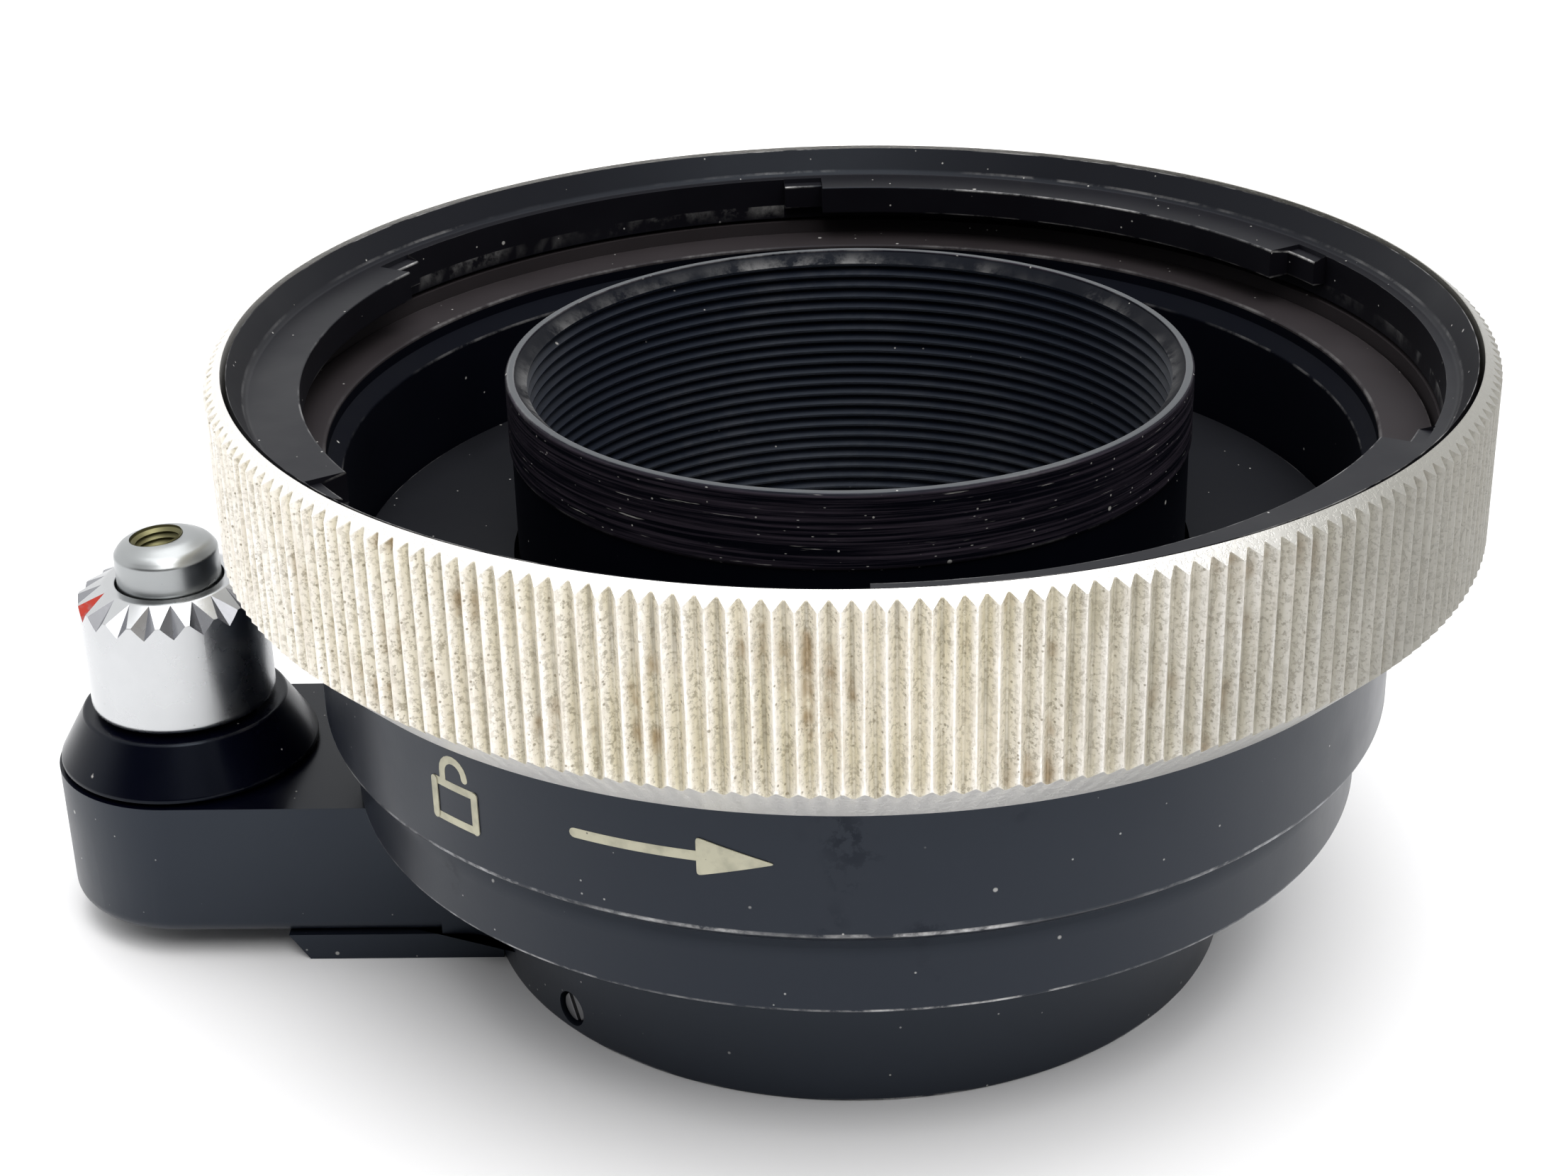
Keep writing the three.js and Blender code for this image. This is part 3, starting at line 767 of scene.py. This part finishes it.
def cover_plate():
    """Plate under the arm, fitted close against it, with chamfered free end and sunk screw holes."""
    side = [(-37.8, 1.88), (-36.5, 0), (-21, 0), (-21, 1.88)]
    bm = bmesh.new()
    near = [bm.verts.new((x * MM, -ARM_HALF * MM, z * MM)) for x, z in side]
    far = [bm.verts.new((x * MM, ARM_HALF * MM, z * MM)) for x, z in side]
    bm.faces.new(near)
    bm.faces.new(list(reversed(far)))
    for i in range(4):
        j = (i + 1) % 4
        bm.faces.new((near[i], far[i], far[j], near[j]))
    obj = new_object("arm_cover_plate_fitted", bm)
    cutters = [cylinder_bm(FOOT_R + 0.08, -1, 3, 0, 0, 256)]
    for x, y in COVER_SCREWS:
        cutters += [cylinder_bm(0.95, -1, 3, x, y, 32), cylinder_bm(1.4, -1, 1, x, y, 32)]
    cut(obj, *cutters)
    rewear(obj, lambda co: 0.0)
    soften(obj, 0.12, 2)
    finish_piece(obj, BLACK, "adapter_body", "black_anodised", "arm_cover_plate")


NOTCHES = 20
INDEX_ANGLE = -148.5


def locking_collar():
    top = COLLAR_HI[2]
    collar = revolve_plain("locking_collar_milled", [
        (4.9, COLLAR_LO[2], 0, 0), (COLLAR_R, COLLAR_LO[2], 0.5, 0), (COLLAR_R, top - 0.9, 0.05, 0),
        (4.3, top, 0.15, 0), (3.56, top, 0.1, 0), (3.56, top - 1.2, 0, 0), (4.9, top - 1.2, 0, 0),
    ], 160, (ARM_X, 0), 5)
    tools = []
    half = 2.9
    outward = Vector((1, 0, 1)).normalized()
    along = Vector((0, 1, 0)).cross(outward)
    start = Vector((COLLAR_R, 0, 22.55)) - along * 2.5
    for i in range(NOTCHES):
        bm = bmesh.new()
        ends = []
        for reach in (0, 5):
            base = start + along * reach
            aside = Vector((0, half, 0))
            corners = [base, base + aside + outward * 2, base - aside + outward * 2]
            ends.append([bm.verts.new(c * MM) for c in corners])
        bm.faces.new(ends[0])
        bm.faces.new(list(reversed(ends[1])))
        for a in range(3):
            b = (a + 1) % 3
            bm.faces.new((ends[0][a], ends[1][a], ends[1][b], ends[0][b]))
        tool = new_object("tool", bm)
        angle = math.radians(INDEX_ANGLE + 360 / NOTCHES * i)
        tool.data.transform(Matrix.Translation((ARM_X * MM, 0, 0)) @ Matrix.Rotation(angle, 4, "Z"))
        tools.append(tool)
    combine(collar, tools, "DIFFERENCE")
    mesh = collar.data
    red = mesh.attributes.new("red", "FLOAT", "FACE")
    # Marks the notch flanks for their painted shade.
    notch_flank_shade = mesh.attributes.new("cut", "FLOAT", "FACE")
    for polygon in mesh.polygons:
        c = polygon.center / MM
        angle = math.degrees(math.atan2(c.y, c.x - ARM_X))
        apart = abs((angle - INDEX_ANGLE + 180) % 360 - 180)
        radial = Vector((c.x - ARM_X, c.y, 0)).normalized()
        tangential = abs(polygon.normal.cross(radial).z) > 0.35
        milled = 22.4 < c.z < top and tangential and math.hypot(c.x - ARM_X, c.y) > 4.4
        indexed = milled and apart < 360 / NOTCHES / 2
        red.data[polygon.index].value = 1.0 if indexed else 0.0
        notch_flank_shade.data[polygon.index].value = 1.0 if milled else 0.0
    shade(mesh, 24)
    finish_piece(collar, notched_chrome("notched_chrome"), "collar", "satin_chrome", "locking_collar")


def button_cap():
    top = CAP_HI[2]
    profile = [(0, 22.3, 0), (2.95, 22.3, 0), (2.95, CAP_LO[2], 0), (CAP_R, CAP_LO[2], 0)]
    profile += rounded([
        (CAP_R, CAP_LO[2] + 0.1, 0, 0), (3.4, 26.3, 0.12, 0), (3.02, 26.82, 0.3, 0),
        (1.95, top - 0.12, 0.4, 0), (0.4, top, 0, 0), (0.2, 23, 0, 0),
    ], 4)[:-1]
    profile.append((0, top, 0))
    cap = revolve("button_cap_turned", even_angles(96), lambda angle: profile, (ARM_X, 0))
    tilt = Matrix.Rotation(math.radians(-6), 4, "Y")
    base = Matrix.Translation((ARM_X * MM, 0, (top - 4.2) * MM))
    hole = new_object("tool", cylinder_bm(1.76, 0, 6, -0.1, 0, 64))
    hole.data.transform(base @ tilt)
    combine(cap, [hole], "DIFFERENCE")
    shade(cap.data, 24)
    soften(cap, 0.06, 2, 30)
    finish_piece(cap, CAP_CHROME_PAINTED_SHADE, "button", "satin_chrome", "button_cap")
    thread = [(0.0, 0.05, 0), (1.72, 0.05, 0), (1.74, 4.05, 0), (1.7, 4.12, 0)]
    z = 3.95
    while z > 0.6:
        thread += [(1.68, z, 0), (1.46, z - 0.22, 0)]
        z -= 0.45
    thread += [(1.2, 0.35, 0), (0.0, 0.35, 0)]
    socket = revolve("release_socket_thread", even_angles(64), lambda angle: thread, (-0.1, 0), 20)
    socket.data.transform(base @ tilt)
    finish_piece(socket, BRASS, "button", None)


def button_spring():
    """Coil spring with flattened end turns, round the rod; in the real adapter it shortens as the button goes
    down.
    """
    low, high, wire = 14.3, 22.0, 0.25
    turns, sides, steps = 6.5, 10, 312
    rest = (high - low - 4 * wire) / (turns - 1.5)
    bm = bmesh.new()
    rings = []
    for i in range(steps + 1):
        turned = turns * i / steps
        angle = TAU * turned
        rise = min(max(turned - 0.75, 0), turns - 1.5) * rest
        lift = wire * (1 + min(turned / 0.75, 1) + min(max(turned - turns + 0.75, 0) / 0.75, 1))
        centre = Vector((2.3 * math.cos(angle), 2.3 * math.sin(angle), low + lift + rise))
        out = Vector((math.cos(angle), math.sin(angle), 0))
        ring = []
        for k in range(sides):
            around_wire = TAU * k / sides
            offset = out * math.cos(around_wire) + Vector((0, 0, 1)) * math.sin(around_wire)
            point = centre + offset * wire + Vector((ARM_X, 0, 0))
            ring.append(bm.verts.new(point * MM))
        rings.append(ring)
    for here, following in zip(rings, rings[1:]):
        for k in range(sides):
            m = (k + 1) % sides
            bm.faces.new((here[k], following[k], following[m], here[m]))
    bm.faces.new(rings[0])
    bm.faces.new(list(reversed(rings[-1])))
    obj = new_object("button_spring_wound", bm, 40)
    finish_piece(obj, STEEL, "adapter_body", "steel", "button_spring")
    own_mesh(obj)


# ---------------------------------------------------------------- camera side
def camera_bayonet():
    claws = (90, 210, 330)

    def profile(with_claw):
        out = 20.4 if with_claw else 19.2
        return rounded([
            (17.6, 0.6, 0.1, 0), (out, 0.6, 0.12, 0), (out, 2.1, 0.1, 0), (19.2, 2.1, 0, 0),
            (19.2, 8.3, 0, 0), (22.3, 8.3, 0, 0), (22.3, 9.8, 0, 0), (17.6, 9.8, 0.1, 0),
        ])

    shapes = {flag: profile(flag) for flag in (True, False)}
    columns = []
    for centre in claws:
        for start, end, flag in ((centre - 20, centre + 20, True), (centre + 20, centre + 100, False)):
            steps = round((end - start) / 2)
            for k in range(steps + 1):
                degrees = start + (end - start) * k / steps + (0.03 if k == 0 else -0.03 if k == steps else 0)
                columns.append((math.radians(degrees), flag))
    columns.sort()
    flags = dict(columns)
    obj = revolve("camera_bayonet_turned", [c[0] for c in columns], lambda a: shapes[flags[a]])
    finish_piece(obj, CHROME, "adapter_body", "satin_chrome", "camera_bayonet")


# ---------------------------------------------------------------- engraving
def wrapped(name, pieces, material):
    """Wraps flat shapes of (millimetres round, z) on the upper band, as a thin inlay."""
    bm = bmesh.new()
    for outline in pieces:
        face = bm.faces.new([bm.verts.new((u * MM, z * MM, 0)) for u, z in outline])
        bmesh.ops.triangulate(bm, faces=[face])
    for _ in range(3):
        long_edges = [e for e in bm.edges if e.calc_length() > 0.35 * MM]
        bmesh.ops.subdivide_edges(bm, edges=long_edges, cuts=1)
        bmesh.ops.triangulate(bm, faces=bm.faces[:])
    top = 0.012
    for vert in bm.verts:
        angle = vert.co.x / (UPPER_R * MM)
        height = vert.co.y
        radius = (UPPER_R + top) * MM
        vert.co = (radius * math.cos(angle), radius * math.sin(angle), height)
    bmesh.ops.recalc_face_normals(bm, faces=bm.faces)
    outward = sum((f.normal.dot(f.calc_center_median()) for f in bm.faces), 0.0)
    if outward < 0:
        bmesh.ops.reverse_faces(bm, faces=bm.faces)
    mesh = bpy.data.meshes.new(name)
    bm.to_mesh(mesh)
    bm.free()
    obj = bpy.data.objects.new(name, mesh)
    bpy.context.scene.collection.objects.link(obj)
    solid = obj.modifiers.new("solidify", "SOLIDIFY")
    solid.thickness = 0.06 * MM
    solid.offset = -1
    finish_piece(obj, material, "adapter_body", "black_anodised")


def along_band(degrees):
    return math.radians(degrees) * UPPER_R


def stroke(points, width):
    """A ribbon with round ends along a polyline, as one outline."""
    path = [Vector(p) for p in points]
    half = width / 2
    left, right = [], []
    for i, p in enumerate(path):
        before = path[max(i - 1, 0)]
        after = path[min(i + 1, len(path) - 1)]
        direction = (after - before).normalized()
        side = Vector((-direction.y, direction.x)) * half
        left.append(p + side)
        right.append(p - side)
    first = (path[1] - path[0]).normalized()
    last = (path[-1] - path[-2]).normalized()

    def cap(end, outward):
        return [end + Matrix.Rotation(-math.pi * k / 6, 2) @ outward * half for k in range(1, 6)]

    end_cap = cap(path[-1], Vector((-last.y, last.x)))
    start_cap = cap(path[0], Vector((first.y, -first.x)))
    return [tuple(p) for p in left + end_cap + right[::-1] + start_cap]


def engraving():
    level = 22.93
    tail, neck, tip = along_band(-116.6), along_band(-104.4), along_band(-97.1)
    shaft = stroke([(tail + (neck + 0.4 - tail) * i / 16, level) for i in range(17)], 0.62)
    head = []
    corners = [(neck, level + 1.22), (neck, level - 1.22), (tip, level - 0.1)]
    for i, corner in enumerate(corners):
        here = Vector(corner)
        back = (Vector(corners[i - 1]) - here).normalized() * 0.28
        ahead = (Vector(corners[(i + 1) % 3]) - here).normalized() * 0.28
        head += [tuple(here + back * (1 - t) ** 2 + ahead * t ** 2) for t in (0, 0.25, 0.5, 0.75, 1)]
    wrapped("arrow_engraving", [shaft, head], CREAM)
    # An open padlock stands for the unlocking direction.
    x = along_band(-131.2)
    base = 20.75
    case = [
        (x - 1.7, base), (x + 1.7, base), (x + 1.7, base + 2.3), (x - 1.7, base + 2.3), (x - 1.7, base),
    ]
    sides = [stroke([(a[0] + (b[0] - a[0]) * t / 4, a[1] + (b[1] - a[1]) * t / 4) for t in range(5)], 0.5)
             for a, b in zip(case, case[1:])]
    shackle_path = [(x - 0.95, base + 2.3), (x - 0.95, base + 3.1)]
    shackle_path += [(x - 0.95 * math.cos(math.pi * k / 10), base + 3.1 + 0.95 * math.sin(math.pi * k / 10))
                     for k in range(1, 11)]
    wrapped("unlock_pictogram", sides + [stroke(shackle_path, 0.5)], CREAM)


# ---------------------------------------------------------------- screws and small parts
def small_parts():
    for i, (x, y) in enumerate(SHELL_SCREWS):
        slotted_screw(f"shell_screw_{i + 1}", 0.95, 0.8, 12.3, 13.1, 22.2, x, y)
    for i, (x, y) in enumerate(COVER_SCREWS):
        slotted_screw(f"cover_screw_{i + 1}", 1.1, 0.65, 0.15, 0.75, 5.9, x, y)
    for i, angle in enumerate(GRUB_ANGLES):
        obj = new_object(f"grub_screw_body_{i + 1}", cylinder_bm(0.98, 22.8, 24.72, 0, 0, 40))
        cut(obj, box_bm(-1.5, 1.5, -0.2, 0.2, 24.3, 25))
        turn = Matrix.Rotation(math.radians(angle), 4, "Z") @ Matrix.Rotation(math.pi / 2, 4, "Y")
        spin = Matrix.Rotation(math.radians(25), 4, "Z")
        obj.data.transform(Matrix.Translation((0, 0, GRUB_HEIGHT * MM)) @ turn @ spin)
        soften(obj, 0.06, 2)
        finish_piece(obj, STEEL, "adapter_body", "steel", f"grub_screw_{i + 1}")


def cad_materials():
    """The CAD nodes that stay get the same finishes."""
    finishes = {"steel": STEEL, "satin_chrome": CHROME, "black_anodised": BLACK, "matt_black": INNER_BLACK,
                "bare_aluminium": ALUMINIUM}
    slots = {row["node"]: row["material_slot"] for row in frame["record"]["subparts"]}
    for node, obj in frame["nodes"].items():
        if hasattr(obj, "data") and obj.data:
            for slot in obj.material_slots:
                slot.material = finishes[slots[node]]


grip_ring()
lug_ring()
upper_shell()
rear_shell()
well_floor()
baffle_tube()
foot_and_arm()
guide_boss()
cover_plate()
locking_collar()
button_cap()
button_spring()
camera_bayonet()
engraving()
small_parts()
cad_materials()


# ---------------------------------------------------------------- studio
def studio():
    ground = FOOT_LO[2] * MM
    bm = bmesh.new()
    size = 3.0
    corners = [(-size, -size), (size, -size), (size, size), (-size, size)]
    clearance = 0.00002
    bm.faces.new([bm.verts.new((x, y, ground - clearance)) for x, y in corners])
    floor = new_object("floor", bm)
    n = Nodes("pale_floor")
    n.set(colour=(0.86, 0.86, 0.87, 1), roughness=0.55)
    floor.data.materials.append(n.material)

    def area(name, place, target, size_xy, power, colour=(1, 1, 1)):
        light = bpy.data.lights.new(name, "AREA")
        light.shape = "RECTANGLE"
        light.size, light.size_y = size_xy
        light.energy = power
        light.color = colour
        obj = bpy.data.objects.new(name, light)
        obj.location = place
        obj.rotation_euler = (Vector(target) - Vector(place)).to_track_quat("-Z", "Y").to_euler()
        bpy.context.scene.collection.objects.link(obj)

    area("key", (0.08, -0.27, 0.52), (0, 0, 0.02), (0.4, 0.4), 2.1, (1, 0.99, 0.975))
    area("top", (0.04, 0.06, 0.60), (0, 0, 0.02), (0.6, 0.6), 2.0)
    world = bpy.data.worlds.new("studio")
    world.use_nodes = True
    tree = world.node_tree
    background = tree.nodes["Background"]
    background.inputs[0].default_value = (1, 1, 1, 1)
    direction = tree.nodes.new("ShaderNodeTexCoord").outputs["Generated"]
    split = tree.nodes.new("ShaderNodeSeparateXYZ")
    tree.links.new(direction, split.inputs[0])

    def slope(output, low, high, start, end):
        node = tree.nodes.new("ShaderNodeMapRange")
        node.interpolation_type = "SMOOTHSTEP"
        tree.links.new(split.outputs[output], node.inputs["Value"])
        for name, value in (("From Min", low), ("From Max", high), ("To Min", start), ("To Max", end)):
            node.inputs[name].default_value = value
        return node.outputs[0]

    def product(a, b):
        node = tree.nodes.new("ShaderNodeMath")
        node.operation = "MULTIPLY"
        tree.links.new(a, node.inputs[0])
        tree.links.new(b, node.inputs[1])
        return node.outputs[0]

    # A dim patch low in front stands for the unlit side of the room.
    dim = product(slope(1, -0.65, -0.1, 1, 0), slope(2, 0.5, 0.72, 1, 0))
    rest = tree.nodes.new("ShaderNodeMath")
    rest.operation = "MULTIPLY_ADD"
    rest.inputs[1].default_value = -0.93
    rest.inputs[2].default_value = 1.0
    tree.links.new(dim, rest.inputs[0])
    strength = product(rest.outputs[0], slope(0, -0.8, 0.8, 1.15, 0.98))
    tree.links.new(strength, background.inputs[1])
    bpy.context.scene.world = world


def camera():
    image_width_px = 2212
    sensor_mm = 36
    focal_px = 3750.2
    yaw, pitch, roll = -0.0281, 0.4478, -0.0246
    forward = Vector((math.sin(yaw) * math.cos(pitch), math.cos(yaw) * math.cos(pitch), -math.sin(pitch)))
    right = Vector((math.cos(yaw), -math.sin(yaw), 0))
    up = right.cross(forward)
    side = right * math.cos(roll) + up * math.sin(roll)
    top = up * math.cos(roll) - right * math.sin(roll)
    data = bpy.data.cameras.new("camera")
    data.sensor_width = sensor_mm
    data.lens = focal_px / image_width_px * sensor_mm
    data.clip_start = 0.01
    obj = bpy.data.objects.new("camera", data)
    rotation = Matrix((side, top, -forward)).transposed().to_4x4()
    obj.matrix_world = Matrix.Translation((0, -0.15798, 0.09881)) @ rotation
    bpy.context.scene.collection.objects.link(obj)
    bpy.context.scene.camera = obj


studio()
camera()
bpy.context.scene.view_settings.view_transform = "Standard"
